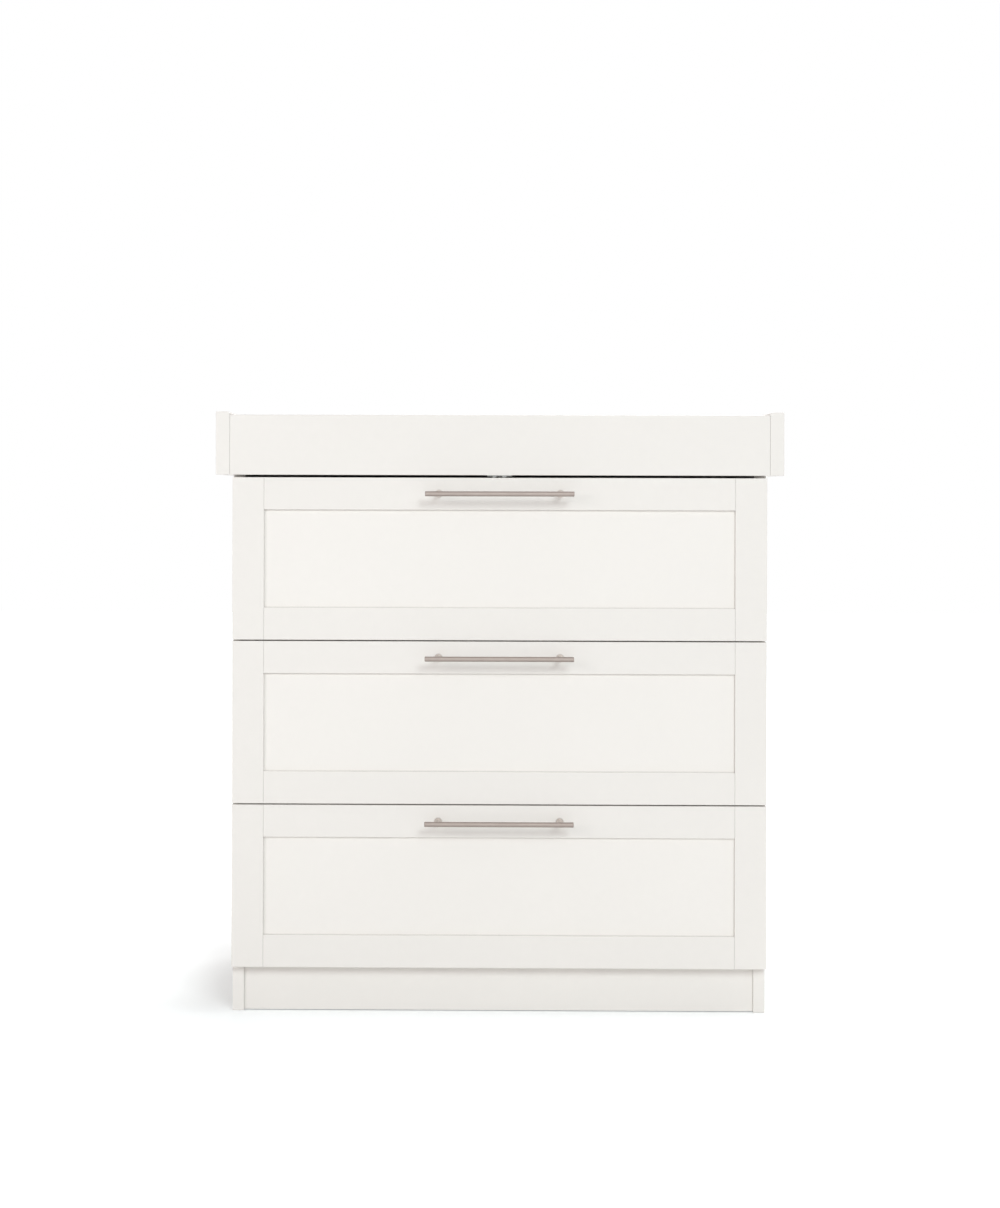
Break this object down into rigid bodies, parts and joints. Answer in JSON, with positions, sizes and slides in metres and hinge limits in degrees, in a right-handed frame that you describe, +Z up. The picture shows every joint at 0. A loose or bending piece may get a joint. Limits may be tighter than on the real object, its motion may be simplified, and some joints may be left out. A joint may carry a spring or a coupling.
{
  "type": "changing dresser",
  "caption": "White framed-front chest of drawers under a raised-edge changer top, with bar handles, a recessed plinth and telescopic runners.",
  "frame": {"origin": "middle of the footprint, handles included, on the floor", "axes": "+Z up, -Y out of the drawer fronts, +X to the right of someone facing them"},
  "size_m": [0.897, 0.536, 0.952],
  "materials": {
    "satin_paint": "satin warm-white paint on MDF",
    "drawer_board": "matt white melamine-faced board",
    "thin_board": "white-faced hardboard",
    "handle_metal": "brushed warm nickel",
    "runner_steel": "bright zinc plate",
    "zinc_fittings": "zinc alloy and zinc-plated steel",
    "beech": "bare fluted beech"
  },
  "bodies": {
    "cabinet": {"side_panel_left": "satin_paint", "side_panel_right": "satin_paint", "top_panel": "satin_paint", "bottom_panel": "drawer_board", "back_panel": "thin_board", "rear_rail": "drawer_board", "plinth_board": "satin_paint", "front_rail_upper": "satin_paint", "front_rail_lower": "satin_paint", "changer_front": "satin_paint", "changer_back": "satin_paint", "changer_side_left": "satin_paint", "changer_side_right": "satin_paint", "changer_floor": "satin_paint", "tie_plate": "zinc_fittings", "dowels": "beech", "cam_fittings": "zinc_fittings", "runner_cabinet_members": "runner_steel"},
    "drawer_1": {"drawer_1_stile_left": "satin_paint", "drawer_1_stile_right": "satin_paint", "drawer_1_rail_top": "satin_paint", "drawer_1_rail_bottom": "satin_paint", "drawer_1_panel": "satin_paint", "drawer_1_handle_bar": "handle_metal", "drawer_1_handle_posts": "handle_metal", "drawer_1_handle_screws": "zinc_fittings", "drawer_1_box_side_left": "drawer_board", "drawer_1_box_side_right": "drawer_board", "drawer_1_box_back": "drawer_board", "drawer_1_box_bottom": "thin_board", "drawer_1_runner_drawer_members": "runner_steel"},
    "runner_1": {"drawer_1_runner_middle_members": "runner_steel"},
    "drawer_2": {"drawer_2_stile_left": "satin_paint", "drawer_2_stile_right": "satin_paint", "drawer_2_rail_top": "satin_paint", "drawer_2_rail_bottom": "satin_paint", "drawer_2_panel": "satin_paint", "drawer_2_handle_bar": "handle_metal", "drawer_2_handle_posts": "handle_metal", "drawer_2_handle_screws": "zinc_fittings", "drawer_2_box_side_left": "drawer_board", "drawer_2_box_side_right": "drawer_board", "drawer_2_box_back": "drawer_board", "drawer_2_box_bottom": "thin_board", "drawer_2_runner_drawer_members": "runner_steel"},
    "runner_2": {"drawer_2_runner_middle_members": "runner_steel"},
    "drawer_3": {"drawer_3_stile_left": "satin_paint", "drawer_3_stile_right": "satin_paint", "drawer_3_rail_top": "satin_paint", "drawer_3_rail_bottom": "satin_paint", "drawer_3_panel": "satin_paint", "drawer_3_handle_bar": "handle_metal", "drawer_3_handle_posts": "handle_metal", "drawer_3_handle_screws": "zinc_fittings", "drawer_3_box_side_left": "drawer_board", "drawer_3_box_side_right": "drawer_board", "drawer_3_box_back": "drawer_board", "drawer_3_box_bottom": "thin_board", "drawer_3_runner_drawer_members": "runner_steel"},
    "runner_3": {"drawer_3_runner_middle_members": "runner_steel"}
  },
  "joints": [
    {"name": "drawer_1_slide", "type": "slide", "parent": "cabinet", "child": "drawer_1", "axis": [0, -1, 0], "range_m": [0, 0.44]},
    {"name": "runner_1_slide", "type": "slide", "parent": "cabinet", "child": "runner_1", "axis": [0, -1, 0], "range_m": [0, 0.22]},
    {"name": "drawer_2_slide", "type": "slide", "parent": "cabinet", "child": "drawer_2", "axis": [0, -1, 0], "range_m": [0, 0.44]},
    {"name": "runner_2_slide", "type": "slide", "parent": "cabinet", "child": "runner_2", "axis": [0, -1, 0], "range_m": [0, 0.22]},
    {"name": "drawer_3_slide", "type": "slide", "parent": "cabinet", "child": "drawer_3", "axis": [0, -1, 0], "range_m": [0, 0.44]},
    {"name": "runner_3_slide", "type": "slide", "parent": "cabinet", "child": "runner_3", "axis": [0, -1, 0], "range_m": [0, 0.22]}
  ],
  "couplings": [
    {"joint": "runner_1_slide", "follows": "drawer_1_slide", "ratio": 0.5},
    {"joint": "runner_2_slide", "follows": "drawer_2_slide", "ratio": 0.5},
    {"joint": "runner_3_slide", "follows": "drawer_3_slide", "ratio": 0.5}
  ]
}
